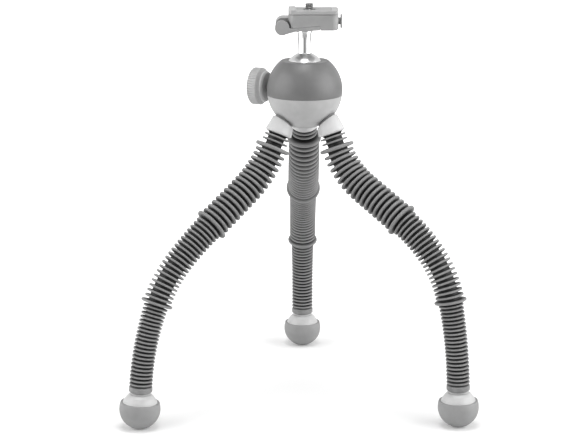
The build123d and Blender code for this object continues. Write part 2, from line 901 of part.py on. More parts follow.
left_end = Plane(
    origin=head.origin + Vector(clamp_left - cut_over, 0, 0), x_dir=(0, 1, 0), z_dir=(1, 0, 0)
)
with BuildPart() as clamp_body:
    with BuildSketch(head.offset(clamp_low)):
        with Locations((clamp_middle, 0)):
            RectangleRounded(clamp_length, clamp_depth, clamp_corner)
    extrude(amount=clamp_top - clamp_low)
    chamfer(clamp_body.edges().group_by(Axis.Z)[0], clamp_edge)
    # The ear behind the lever's lobe, which holds the pin
    with BuildSketch(front_side.offset(-lever_thickness - running_gap)):
        with Locations((lever_pin_x, lever_pin_z + ear_rise)):
            Circle(ear_radius)
            Rectangle(
                clamp_left + clamp_corner - lever_pin_x,
                2 * ear_radius,
                align=(Align.MIN, Align.CENTER),
            )
    extrude(amount=-(ear_back - lever_back - running_gap))
    with BuildSketch(left_end):
        with BuildLine():
            rail_line(plate_gap, channel_low, clamp_top + cut_over)
        make_face()
    extrude(amount=rail_end + running_gap - clamp_left + cut_over, mode=Mode.SUBTRACT)
    # The recess that the lever folds into, with room for its lobe to turn
    with BuildSketch(front_side.offset(cut_over)):
        with BuildLine():
            lever_line(lever_gap)
        make_face()
        with Locations((lever_pin_x, clamp_low + clamp_edge)):
            Rectangle(
                lever_tip_x + lever_tip_radius + lever_gap - lever_pin_x,
                clamp_low,
                align=(Align.MIN, Align.MAX),
            )
        with Locations((lever_pin_x, lever_pin_z)):
            Circle(lever_lobe_radius + lever_lobe_drop + running_gap)
    extrude(amount=-lever_thickness - running_gap - cut_over, mode=Mode.SUBTRACT)
    # The pocket of the jaw, open at the back
    with BuildSketch(head.offset(jaw_low - running_gap)):
        with Locations(((jaw_left + jaw_right) / 2, clamp_depth / 2)):
            Rectangle(
                jaw_right - jaw_left + 2 * running_gap,
                clamp_depth - rail_narrow + plate_gap,
            )
    extrude(amount=jaw_height + running_gap + cut_over, mode=Mode.SUBTRACT)
    # Holes for the bolt, the pin and the catch
    with BuildSketch(head.offset(channel_low)):
        Circle(bolt_head_radius + seat_gap)
    extrude(amount=-bolt_head_height - plate_gap, mode=Mode.SUBTRACT)
    with BuildSketch(head.offset(clamp_low - cut_over)):
        Circle(bolt_radius + seat_gap)
    extrude(amount=clamp_top - clamp_low, mode=Mode.SUBTRACT)
    with BuildSketch(front_side):
        with Locations((lever_pin_x, lever_pin_z)):
            Circle(lever_pin_radius + pin_fit)
    extrude(amount=-clamp_depth, mode=Mode.SUBTRACT)
    with BuildSketch(left_end.offset(clamp_length + 2 * cut_over)):
        with Locations((0, catch_middle)):
            Circle(catch_stem_radius + running_gap)
    extrude(amount=-catch_stem_length - catch_stroke - 2 * cut_over, mode=Mode.SUBTRACT)
save("clamp_body", clamp_body)

with BuildPart() as clamp_bolt:
    with BuildSketch(head.offset(channel_low - plate_gap - bolt_head_height)):
        Circle(bolt_head_radius)
    extrude(amount=bolt_head_height)
    with BuildSketch(head.offset(neck_top - bolt_reach)):
        Circle(bolt_radius)
    extrude(amount=channel_low - plate_gap - bolt_head_height - neck_top + bolt_reach)
save("clamp_bolt", clamp_bolt)

with BuildPart() as clamp_jaw:
    with BuildSketch(head.offset(jaw_low)):
        with Locations(((jaw_left + jaw_right) / 2, clamp_depth / 2 - jaw_back)):
            Rectangle(jaw_right - jaw_left, clamp_depth, align=(Align.CENTER, Align.MAX))
    extrude(amount=jaw_height - plate_gap)
    with BuildSketch(left_end):
        with BuildLine():
            rail_line(plate_gap, jaw_low - cut_over, clamp_top + cut_over)
        make_face()
    extrude(amount=clamp_length + 2 * cut_over, mode=Mode.SUBTRACT)
    split(bisect_by=Plane.XZ.offset(-head_y), keep=Keep.BOTTOM)
save("clamp_jaw", clamp_jaw)

with BuildPart() as clamp_lever:
    with BuildSketch(front_side):
        with BuildLine():
            lever_line(0)
        make_face()
        with Locations((lever_pin_x, lever_pin_z - lever_lobe_drop)):
            Circle(lever_lobe_radius)
    extrude(amount=-lever_thickness)
    # The pin's hole is blind, so the lever's front is plain
    with BuildSketch(front_side.offset(-lever_thickness)):
        with Locations((lever_pin_x, lever_pin_z)):
            Circle(lever_pin_radius + pin_fit)
    extrude(amount=lever_thickness - lever_skin, mode=Mode.SUBTRACT)
save("clamp_lever", clamp_lever)

with BuildPart() as lever_pin:
    with BuildSketch(front_side.offset(-lever_skin - seat_gap)):
        with Locations((lever_pin_x, lever_pin_z)):
            Circle(lever_pin_radius)
    extrude(amount=-(ear_back - clamp_front - lever_skin - seat_gap - clamp_edge))
save("lever_pin", lever_pin)

# Catch: a button at the clamp's right end, pressed out by a spring behind its stem
with BuildPart() as catch_button:
    with BuildSketch(left_end.offset(clamp_length + cut_over + catch_stroke + running_gap)):
        with Locations((0, catch_middle)):
            RectangleRounded(catch_width, catch_height, catch_corner)
    extrude(amount=catch_stand - catch_stroke - running_gap)
    with BuildSketch(left_end.offset(clamp_length + cut_over + catch_stroke + running_gap)):
        with Locations((0, catch_middle)):
            Circle(catch_stem_radius)
    extrude(amount=-catch_stem_length)
save("catch_button", catch_button)

with BuildPart() as catch_spring:
    with BuildSketch(left_end.offset(clamp_length + cut_over - catch_stem_length - catch_stroke)):
        with Locations((0, catch_middle)):
            Circle(catch_stem_radius)
            Circle(catch_stem_radius - catch_spring_wall, mode=Mode.SUBTRACT)
    extrude(amount=2 * catch_stroke)
save("catch_spring", catch_spring)

# Plate: slides into the clamp on its rail, with a lip at the left and a pad set into its top
plate_top = rail_top + plate_thickness
pad_left = clamp_left + plate_lip_width + pad_margin
pad_middle = (pad_left + pad_right) / 2
with BuildPart() as plate:
    with BuildSketch(head.offset(rail_top)):
        with Locations((clamp_middle, 0)):
            RectangleRounded(clamp_length, clamp_depth, plate_corner)
    extrude(amount=plate_thickness)
    with BuildSketch(head.offset(plate_top)):
        with Locations((clamp_middle, 0)):
            RectangleRounded(clamp_length, clamp_depth, plate_corner)
        with Locations((clamp_left + plate_lip_width, 0)):
            Rectangle(
                clamp_length, clamp_depth, align=(Align.MIN, Align.CENTER), mode=Mode.SUBTRACT
            )
    extrude(amount=plate_lip_height)
    chamfer(plate.edges().group_by(Axis.Z)[0], plate_edge)
    with BuildSketch(left_end.offset(cut_over)):
        with BuildLine():
            rail_line(0, rail_low, rail_top)
        make_face()
    extrude(amount=rail_end - clamp_left)
    with BuildSketch(head.offset(plate_top)):
        with Locations((pad_middle, 0)):
            RectangleRounded(
                pad_right - pad_left + 2 * seat_gap, pad_depth + 2 * seat_gap, pad_corner
            )
    extrude(amount=-pad_thickness, mode=Mode.SUBTRACT)
    with Locations(head.offset(plate_top - pad_thickness) * Pos(camera_screw_x, 0)):
        Hole(camera_shank_radius + running_gap)
    with BuildSketch(head.offset(rail_low)):
        with Locations((camera_screw_x, 0)):
            Circle(camera_screw_head_radius + running_gap)
    extrude(amount=camera_screw_head_height + plate_gap, mode=Mode.SUBTRACT)
    with BuildSketch(head.offset(plate_top)):
        with Locations((camera_screw_x, 0)):
            Circle(keeper_radius + running_gap)
    extrude(amount=-pad_thickness - keeper_depth, mode=Mode.SUBTRACT)
save("quick_release_plate", plate)

with BuildPart() as plate_pad:
    with BuildSketch(head.offset(plate_top - pad_thickness)):
        with Locations((pad_middle, 0)):
            RectangleRounded(pad_right - pad_left, pad_depth, pad_corner)
        with Locations((camera_screw_x, 0)):
            Circle(keeper_radius + running_gap, mode=Mode.SUBTRACT)
    extrude(amount=pad_thickness)
save("plate_pad", plate_pad)

with BuildPart() as camera_screw:
    with BuildSketch(head.offset(rail_low)):
        with Locations((camera_screw_x, 0)):
            Circle(camera_screw_head_radius)
    extrude(amount=camera_screw_head_height)
    with BuildSketch(head.offset(rail_low + camera_screw_head_height)):
        with Locations((camera_screw_x, 0)):
            Circle(camera_shank_radius)
    extrude(amount=plate_top - pad_thickness - rail_low - camera_screw_head_height)
    with BuildSketch(head.offset(plate_top - pad_thickness)):
        with Locations((camera_screw_x, 0)):
            Circle(camera_screw_radius)
    extrude(amount=pad_thickness + camera_screw_length)
    chamfer(camera_screw.edges().group_by(Axis.Z)[-1], camera_screw_bevel)
save("camera_screw", camera_screw)

with BuildPart() as screw_keeper:
    with BuildSketch(head.offset(plate_top - pad_thickness - keeper_thickness)):
        with Locations((camera_screw_x, 0)):
            Circle(keeper_radius)
            Circle(camera_shank_radius, mode=Mode.SUBTRACT)
    extrude(amount=keeper_thickness)
save("screw_keeper", screw_keeper)
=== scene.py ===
"""Table tripod with bendable ribbed legs, a ball head and a quick-release clamp, dressed for
rendering around its fixed CAD frame. Metres, +Z up, standing on the floor at Z = 0.
"""

import math
from collections import namedtuple

import bmesh
import bpy
from mathutils import Matrix, Vector


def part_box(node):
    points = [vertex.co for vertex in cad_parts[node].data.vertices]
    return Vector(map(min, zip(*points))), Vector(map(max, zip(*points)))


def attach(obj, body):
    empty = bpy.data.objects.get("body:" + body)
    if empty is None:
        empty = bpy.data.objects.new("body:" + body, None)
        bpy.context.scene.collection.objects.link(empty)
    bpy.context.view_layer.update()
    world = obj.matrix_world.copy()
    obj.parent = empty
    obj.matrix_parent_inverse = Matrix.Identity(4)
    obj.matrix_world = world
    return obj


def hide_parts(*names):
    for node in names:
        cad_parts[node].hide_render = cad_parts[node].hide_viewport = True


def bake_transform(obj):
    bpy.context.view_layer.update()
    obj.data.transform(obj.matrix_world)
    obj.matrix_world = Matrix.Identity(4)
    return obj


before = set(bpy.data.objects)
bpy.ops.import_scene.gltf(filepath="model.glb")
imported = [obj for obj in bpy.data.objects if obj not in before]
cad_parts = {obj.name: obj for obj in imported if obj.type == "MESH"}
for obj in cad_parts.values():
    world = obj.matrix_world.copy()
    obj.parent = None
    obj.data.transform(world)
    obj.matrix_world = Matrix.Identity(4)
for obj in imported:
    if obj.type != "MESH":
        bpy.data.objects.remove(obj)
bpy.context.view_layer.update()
mm = 0.001

# Stage: a white studio floor in soft light, with the camera in front of the tripod and a
# little above it. Everything is placed from the head's upright axis, as in the photograph.
bowl_low, bowl_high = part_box("lower_bowl")
head_x = (bowl_low[0] + bowl_high[0]) / 2
head_y = (bowl_low[1] + bowl_high[1]) / 2

photo_width = 588
focal_pixels = 1862
film_width = 36.0
camera_left = 8.2 * mm
camera_back = 1413 * mm
camera_height = 481 * mm
camera_dip = 13.42
camera_data = bpy.data.cameras.new("camera")
camera_data.sensor_width = film_width
camera_data.lens = film_width * focal_pixels / photo_width
camera_data.clip_end = 50.0
camera = bpy.data.objects.new("camera", camera_data)
camera.location = (head_x - camera_left, head_y - camera_back, camera_height)
camera.rotation_euler = (math.radians(90 - camera_dip), 0, 0)
bpy.context.scene.collection.objects.link(camera)
bpy.context.scene.camera = camera
bpy.context.scene.view_settings.view_transform = "Standard"


def tone(grey):
    """The linear colour of a grey as it shows on a screen, from 0 to 1."""
    linear = ((grey + 0.055) / 1.055) ** 2.4
    return linear, linear, linear, 1.0


floor_radius = 9.0
floor_mesh = bpy.data.meshes.new("floor")
floor_form = bmesh.new()
bmesh.ops.create_circle(floor_form, cap_ends=True, segments=96, radius=floor_radius)
floor_form.to_mesh(floor_mesh)
floor_form.free()
floor = bpy.data.objects.new("floor", floor_mesh)
bpy.context.scene.collection.objects.link(floor)
floor_paint = bpy.data.materials.new("floor_paint")
floor_paint.use_nodes = True
floor_nodes, floor_links = floor_paint.node_tree.nodes, floor_paint.node_tree.links
floor_matt = floor_nodes["Principled BSDF"]
floor_matt.inputs["Base Color"].default_value = tone(0.95)
floor_matt.inputs["Roughness"].default_value = 0.9
# The camera sees the floor whitened, most of all away from the tripod, whose soft shadow stays
floor_white = floor_nodes.new("ShaderNodeEmission")
floor_seen = floor_nodes.new("ShaderNodeLightPath")
floor_point = floor_nodes.new("ShaderNodeTexCoord")
floor_reach = floor_nodes.new("ShaderNodeVectorMath")
floor_reach.operation = "LENGTH"
floor_fade = floor_nodes.new("ShaderNodeMapRange")
floor_fade.inputs["From Min"].default_value = 0.2
floor_fade.inputs["From Max"].default_value = 0.9
floor_fade.inputs["To Min"].default_value = 0.14
floor_share = floor_nodes.new("ShaderNodeMath")
floor_share.operation = "MULTIPLY"
floor_sum = floor_nodes.new("ShaderNodeAddShader")
floor_links.new(floor_point.outputs["Object"], floor_reach.inputs[0])
floor_links.new(floor_reach.outputs["Value"], floor_fade.inputs["Value"])
floor_links.new(floor_seen.outputs["Is Camera Ray"], floor_share.inputs[0])
floor_links.new(floor_fade.outputs["Result"], floor_share.inputs[1])
floor_links.new(floor_share.outputs["Value"], floor_white.inputs["Strength"])
floor_links.new(floor_matt.outputs["BSDF"], floor_sum.inputs[0])
floor_links.new(floor_white.outputs["Emission"], floor_sum.inputs[1])
floor_links.new(floor_sum.outputs["Shader"], floor_nodes["Material Output"].inputs["Surface"])
floor_mesh.materials.append(floor_paint)

# The sky is white to the camera. In front of the tripod, between the side lights, stands the
# dark photographer, and behind it the studio's roof is dimmer: both show in the metal.
sky_strength = 0.48
roof_dark = 0.55
mirror_front_dark = 0.72
soft_front_dark = 0.95
sky = bpy.data.worlds.new("studio")
bpy.context.scene.world = sky
sky.use_nodes = True
sky_nodes, sky_links = sky.node_tree.nodes, sky.node_tree.links
sky_nodes["Background"].inputs["Color"].default_value = tone(1.0)
towards = sky_nodes.new("ShaderNodeTexCoord")
heading = sky_nodes.new("ShaderNodeSeparateXYZ")
sky_links.new(towards.outputs["Generated"], heading.inputs["Vector"])


def sky_math(operation, *terms):
    """A step of arithmetic in the sky, from sockets or plain numbers."""
    step = sky_nodes.new("ShaderNodeMath")
    step.operation = operation
    for socket, term in zip(step.inputs, terms):
        if isinstance(term, (int, float)):
            socket.default_value = term
        else:
            sky_links.new(term, socket)
    return step.outputs["Value"]


def sky_ease(value, start, end):
    """Runs smoothly from 0 to 1 as a value goes from start to end."""
    ease = sky_nodes.new("ShaderNodeMapRange")
    ease.interpolation_type = "SMOOTHSTEP"
    ease.inputs["From Min"].default_value = start
    ease.inputs["From Max"].default_value = end
    sky_links.new(value, ease.inputs["Value"])
    return ease.outputs["Result"]


def sky_front(inner, outer):
    """The dark place in front: full within inner of the middle, gone past outer."""
    middle = sky_ease(sky_math("ABSOLUTE", heading.outputs["X"]), outer, inner)
    facing = sky_ease(heading.outputs["Y"], -0.1, -0.5)
    low = sky_ease(heading.outputs["Z"], 0.7, 0.35)
    return sky_math("MULTIPLY", sky_math("MULTIPLY", middle, facing), low)


roof = sky_math(
    "MULTIPLY",
    sky_ease(heading.outputs["Z"], 0.55, 0.8),
    sky_ease(heading.outputs["Y"], -0.6, 0.0),
)
mirror_front = sky_math("MULTIPLY", sky_front(0.2, 0.42), mirror_front_dark)
mirror_dark = sky_math("MULTIPLY_ADD", roof, roof_dark, mirror_front)
mirrored = sky_math("SUBTRACT", 1.0, mirror_dark)
soft_dark = sky_math("MULTIPLY", sky_front(0.45, 0.95), soft_front_dark)
softened = sky_math("MULTIPLY", sky_math("SUBTRACT", 1.0, soft_dark), sky_strength)
seen = sky_nodes.new("ShaderNodeLightPath")
direct = sky_math("MAXIMUM", seen.outputs["Is Camera Ray"], seen.outputs["Is Transmission Ray"])
glossy = seen.outputs["Is Glossy Ray"]
plain = sky_math("SUBTRACT", 1.0, sky_math("MAXIMUM", direct, glossy))
level = sky_math("MULTIPLY_ADD", glossy, mirrored, direct)
level = sky_math("MULTIPLY_ADD", plain, softened, level)
sky_links.new(level, sky_nodes["Background"].inputs["Strength"])

for name, place, turn, size, power in (
    ("left_box", (-1.6, -0.5, 0.8), (80, 0, -73), 1.8, 23),
    ("right_box", (1.6, -0.5, 0.8), (80, 0, 73), 1.8, 31),
    ("top_box", (0.0, -0.3, 2.0), (0, 0, 0), 0.8, 14),
):
    lamp_data = bpy.data.lights.new(name, "AREA")
    lamp_data.size = size
    lamp_data.energy = power
    lamp = bpy.data.objects.new(name, lamp_data)
    lamp.location = place
    lamp.rotation_euler = [math.radians(angle) for angle in turn]
    bpy.context.scene.collection.objects.link(lamp)


# Hub and lower bowl: a cast hub that clamps the three wires, screwed into a moulded bowl of
# light grey plastic, which is the lower half of the housing.
cloud_size = 9 * mm
polish_spread = 0.12
weld_reach = 1e-6
sharp_edge = 32


def finish(name, grey, roughness, grain, depth, mottle=0.03, metal=0.0):
    """A finish with a fine grain and faint clouds: grey as it shows, grain and depth in metres."""
    made = bpy.data.materials.new(name)
    made.use_nodes = True
    nodes, wires = made.node_tree.nodes, made.node_tree.links
    shader = nodes["Principled BSDF"]
    shader.inputs["Metallic"].default_value = metal
    where = nodes.new("ShaderNodeTexCoord")
    clouds = nodes.new("ShaderNodeTexNoise")
    clouds.inputs["Scale"].default_value = 1 / cloud_size
    clouds.inputs["Detail"].default_value = 4.0
    wires.new(where.outputs["Object"], clouds.inputs["Vector"])
    colours = nodes.new("ShaderNodeValToRGB")
    colours.color_ramp.elements[0].position = 0.3
    colours.color_ramp.elements[0].color = tone(grey * (1 - mottle))
    colours.color_ramp.elements[1].position = 0.7
    colours.color_ramp.elements[1].color = tone(min(grey * (1 + mottle), 1.0))
    wires.new(clouds.outputs["Fac"], colours.inputs["Fac"])
    wires.new(colours.outputs["Color"], shader.inputs["Base Color"])
    polish = nodes.new("ShaderNodeMapRange")
    polish.inputs["To Min"].default_value = roughness * (1 - polish_spread)
    polish.inputs["To Max"].default_value = min(roughness * (1 + polish_spread), 1.0)
    wires.new(clouds.outputs["Fac"], polish.inputs["Value"])
    wires.new(polish.outputs["Result"], shader.inputs["Roughness"])
    speckle = nodes.new("ShaderNodeTexNoise")
    speckle.inputs["Scale"].default_value = 1 / grain
    speckle.inputs["Detail"].default_value = 2.0
    wires.new(where.outputs["Object"], speckle.inputs["Vector"])
    bump = nodes.new("ShaderNodeBump")
    bump.inputs["Strength"].default_value = 1.0
    bump.inputs["Distance"].default_value = depth
    wires.new(speckle.outputs["Fac"], bump.inputs["Height"])
    wires.new(bump.outputs["Normal"], shader.inputs["Normal"])
    return made


def dress(node, finish_material, ease=0.25 * mm, steps=2):
    """Gives a CAD node its finish and eases its sharp edges, as a moulding's are."""
    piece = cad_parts[node]
    piece.data.materials.clear()
    piece.data.materials.append(finish_material)
    joined = piece.modifiers.new("join", "WELD")
    joined.merge_threshold = weld_reach
    if ease:
        edges = piece.modifiers.new("ease", "BEVEL")
        edges.width = ease
        edges.segments = steps
        edges.limit_method = "ANGLE"
        edges.angle_limit = math.radians(sharp_edge)
        edges.harden_normals = True


cast_metal = finish(
    "cast_metal", grey=0.55, roughness=0.55, grain=0.5 * mm, depth=0.02 * mm, metal=1.0
)
dress("hub", cast_metal, ease=0)
bowl_plastic = finish("bowl_plastic", grey=0.68, roughness=0.38, grain=0.35 * mm, depth=0.008 * mm)
dress("lower_bowl", bowl_plastic)

# Ribbed sleeves: moulded grey rubber over the leg's wire, in a run of thin ribs between wide
# collars. Each link of ribs is one piece, and a soft core joins it to the next link.
upper_length = 76.6 * mm
middle_length = 73.5 * mm
lower_length = 67.0 * mm
ankle_length = 15.5 * mm
collar_reach = 28.7 * mm
foot_height = 15.2 * mm
Leg = namedtuple("Leg", "name azimuth bends")
leg_bends = {
    "left": (210.7, (25.6, 50.5, 52.4, 43.9, 22.2, 3.7)),
    "right": (329.1, (22.0, 57.6, 56.3, 38.9, 12.0, 1.6)),
    "back": (90.4, (25.4, 53.0, 53.9, 44.1, 20.2, 0.0)),
}
arc_lengths = (
    upper_length / 2,
    upper_length / 2,
    middle_length / 2,
    middle_length / 2,
    lower_length,
)
end_at = sum(arc_lengths)
foot_at = end_at + ankle_length
straight = 1e-6


def walk(bends, at):
    """Reach from the head's axis, fall below the top collar and angle from upright, at a length."""
    angle = math.radians(bends[0])
    reach, fall, start = collar_reach, 0.0, 0.0
    for length, first, last in zip(arc_lengths, bends, bends[1:]):
        run = min(at - start, length)
        if run <= 0:
            break
        rate = math.radians(last - first) / length
        before = angle
        angle = before + rate * run
        if abs(rate * run) < straight:
            reach += run * math.sin(before)
            fall += run * math.cos(before)
        else:
            reach += (math.cos(before) - math.cos(angle)) / rate
            fall += (math.sin(angle) - math.sin(before)) / rate
        start += length
    run = at if at < 0 else max(at - end_at, 0.0)
    return reach + run * math.sin(angle), fall + run * math.cos(angle), angle


# The left leg's bends set how high the tripod stands, and the others are settled to it
leg_fall = walk(leg_bends["left"][1], foot_at)[1]
collar_height = foot_height + leg_fall
widest_trim = 30.0
settling_steps = 60


def settled(bends):
    """The bends, opened or closed alike below the first until the foot stands on the floor."""
    closed, opened = -widest_trim, widest_trim
    for _ in range(settling_steps):
        trim = (closed + opened) / 2
        tried = (bends[0], *(bend + trim for bend in bends[1:]))
        if walk(tried, foot_at)[1] < leg_fall:
            opened = trim
        else:
            closed = trim
    return tried


legs = [Leg(name, azimuth, settled(bends)) for name, (azimuth, bends) in leg_bends.items()]


def leg_place(leg, at):
    """The frame on a leg's centreline, with its Z down the leg and its X level."""
    reach, fall, angle = walk(leg.bends, at)
    turn = math.radians(leg.azimuth)
    outward = Vector((math.cos(turn), math.sin(turn), 0))
    down_leg = outward * math.sin(angle) - Vector((0, 0, math.cos(angle)))
    level = Vector((-math.sin(turn), math.cos(turn), 0))
    turned_to = Matrix((level, down_leg.cross(level), down_leg)).transposed().to_4x4()
    centre = Vector((head_x, head_y, collar_height - fall)) + outward * reach
    return Matrix.Translation(centre) @ turned_to


def circle(place, along, radius, count):
    """Points of a circle square to a frame's Z, moved along it."""
    turns = (2 * math.pi * number / count for number in range(count))
    return [place @ Vector((radius * math.cos(t), radius * math.sin(t), along)) for t in turns]


def skin(name, loops, sharp=40):
    """A piece from loops of points, walled between neighbours and closed at both ends."""
    form = bmesh.new()
    rows = [[form.verts.new(point) for point in loop] for loop in loops]
    for above, below in zip(rows, rows[1:]):
        for number in range(len(above)):
            after = (number + 1) % len(above)
            form.faces.new((above[number], above[after], below[after], below[number]))
    form.faces.new(rows[0])
    form.faces.new(rows[-1])
    bmesh.ops.recalc_face_normals(form, faces=form.faces)
    mesh = bpy.data.meshes.new(name)
    form.to_mesh(mesh)
    form.free()
    mesh.shade_smooth()
    mesh.set_sharp_from_angle(angle=math.radians(sharp))
    piece = bpy.data.objects.new(name, mesh)
    bpy.context.scene.collection.objects.link(piece)
    return piece


Ring = namedtuple("Ring", "at radius core base rim")
core_share = 0.65
flare_power = 3.0
collar_bevel = 0.5 * mm
root_pitch = 3.7 * mm
top_collar_width = 3.5 * mm
knee_collar_width = 3.1 * mm
ankle_collar_width = 2.6 * mm
ferrule_width = 4.2 * mm
ferrule_tuck = 0.1 * mm
rib_round = 0.36
corner_cut = 0.29
around_rib = 56


def section_rings(start, length, above, below, count, first, last, base, rim):
    """The evenly spaced ribs of one section, flaring towards its top."""
    gap = (length - above - below - count * base) / (count + 1)
    for number in range(count):
        down = 1 - number / (count - 1)
        radius = last + (first - last) * down**flare_power
        middle = start + above + gap + base / 2 + number * (gap + base)
        yield Ring(middle, radius, radius * core_share, base, rim)


def collar(at, radius, width, core):
    """A wide ring with bevelled rims."""
    return Ring(at, radius, core, width, width - 2 * collar_bevel)


knee_at = upper_length
ankle_at = upper_length + middle_length
root_base = 2.9 * mm * core_share
root_rim = 1.9 * mm * core_share
root_at = -(top_collar_width / 2 + root_pitch * core_share + root_base / 2)
root_radius = 10.1 * mm
rings = [
    *(
        Ring(at, root_radius, root_radius * core_share, root_base, root_rim)
        for at in (root_at - root_pitch, root_at)
    ),
    collar(at=0.0, radius=13.4 * mm, width=top_collar_width, core=12.1 * mm * core_share),
    *section_rings(
        start=0.0,
        length=upper_length,
        above=top_collar_width / 2,
        below=knee_collar_width / 2,
        count=16,
        first=12.1 * mm,
        last=12.5 * mm,
        base=2.9 * mm,
        rim=1.9 * mm,
    ),
    collar(at=knee_at, radius=13.8 * mm, width=knee_collar_width, core=12.5 * mm * core_share),
    *section_rings(
        start=knee_at,
        length=middle_length,
        above=knee_collar_width / 2,
        below=ankle_collar_width / 2,
        count=19,
        first=11.3 * mm,
        last=10.8 * mm,
        base=2.2 * mm,
        rim=1.4 * mm,
    ),
    collar(at=ankle_at, radius=12.2 * mm, width=ankle_collar_width, core=10.8 * mm * core_share),
    *section_rings(
        start=ankle_at,
        length=lower_length,
        above=ankle_collar_width / 2,
        below=ferrule_width / 2,
        count=21,
        first=9.4 * mm,
        last=8.8 * mm,
        base=1.9 * mm,
        rim=1.2 * mm,
    ),
]
link_counts = {
    "root": 2,
    "hip": 3,
    "upper": 7,
    "knee": 8,
    "middle": 9,
    "ankle": 11,
    "lower": 10,
    "end": 11,
}

sleeve_rubber = finish(
    "sleeve_rubber", grey=0.51, roughness=0.62, grain=0.5 * mm, depth=0.02 * mm, mottle=0.04
)
# Painted shade: the deep gaps between the ribs are painted darker than the rims, by how far each
# point stands in from the rim
rubber_nodes, rubber_links = sleeve_rubber.node_tree.nodes, sleeve_rubber.node_tree.links
rim_share = rubber_nodes.new("ShaderNodeAttribute")
rim_share.attribute_name = "rim"
gap_shade_tones = rubber_nodes.new("ShaderNodeValToRGB")
gap_shade_tones.color_ramp.elements[0].position = 0.3
gap_shade_tones.color_ramp.elements[0].color = tone(0.2)
gap_shade_tones.color_ramp.elements[1].position = 0.97
gap_shade_tones.color_ramp.elements[1].color = tone(1.0)
rubber_links.new(rim_share.outputs["Fac"], gap_shade_tones.inputs["Fac"])
rubber_gap_shade_mix = rubber_nodes.new("ShaderNodeMix")
rubber_gap_shade_mix.data_type = "RGBA"
rubber_gap_shade_mix.blend_type = "MULTIPLY"
rubber_gap_shade_mix.inputs["Factor"].default_value = 1.0
rubber_shader = rubber_nodes["Principled BSDF"]
rubber_cloud = rubber_shader.inputs["Base Color"].links[0].from_socket
rubber_links.new(rubber_cloud, rubber_gap_shade_mix.inputs["A"])
rubber_links.new(gap_shade_tones.outputs["Color"], rubber_gap_shade_mix.inputs["B"])
rubber_links.new(rubber_gap_shade_mix.outputs["Result"], rubber_shader.inputs["Base Color"])


def rib_outline(ring):
    """A rib's section from core to rim and back, with the rim's corners rounded."""
    ease = min(ring.rim * rib_round, (ring.radius - ring.core) / 3)
    half = ring.rim / 2
    lean = (ring.base - ring.rim) / 2 / (ring.radius - ring.core) * ease
    climb = [
        (-ring.base / 2, ring.core),
        (-half - lean, ring.radius - ease),
        (-half + ease * corner_cut, ring.radius - ease * corner_cut),
        (-half + ease, ring.radius),
    ]
    return climb + [(-along, radius) for along, radius in reversed(climb)]


def gap_middle(above, below):
    """The middle of the gap between two rings."""
    return (above.at + above.base / 2 + below.at - below.base / 2) / 2


# The sleeve's root is a plain cone that fills the leg cap and shows as a band at the bowl
cap_wall = 1.3 * mm
plug_cone = ((-29.4 * mm, 7.4 * mm - cap_wall), (-12.4 * mm, 10.6 * mm - cap_wall))
# The plug counts as rim, so it takes none of the painted shade of the rib gaps
plug_rim_share = 1.0
bowl_arc_rise = -3.3 * mm
bowl_arc_radius = 28.8 * mm
bowl_tuck = 0.6 * mm
seam_above_collar = 42.6 * mm
bowl_centre = Vector((head_x, head_y, collar_height + seam_above_collar + bowl_arc_rise))
plug_steps = 100


def plug_end(leg):
    """The loop where the root's cone runs into the bowl, a little under its surface."""
    inner, outer = (circle(leg_place(leg, at), 0.0, wide, around_rib) for at, wide in plug_cone)
    loop = []
    for start, end in zip(outer, inner):
        point = start
        for step in range(plug_steps + 1):
            point = start.lerp(end, step / plug_steps)
            if (point - bowl_centre).length < bowl_arc_radius - bowl_tuck:
                break
        loop.append(point)
    return loop


# Leg wire: one bendable steel wire inside each sleeve, from the hub to the ferrule, which holds
# the shape it is bent to. Here it runs in stretches along the leg, each across one joint.
wire_radius = 1.6 * mm
around_wire = 12
wire_above_collar = 25 * mm
core_tuck = 0.6 * mm
core_shrink = 0.97
core_steps = 8
wire = finish("wire", grey=0.45, roughness=0.35, grain=0.4 * mm, depth=0.01 * mm, metal=1.0)


def run_between(name, leg, start, end, radius, count):
    """A round run along the leg's centreline."""
    stops = [start + (end - start) * step / core_steps for step in range(core_steps + 1)]
    return skin(name, [circle(leg_place(leg, at), 0.0, radius, count) for at in stops])


links = []
taken = 0
for link_name, count in link_counts.items():
    links.append((link_name, rings[taken : taken + count]))
    taken += count

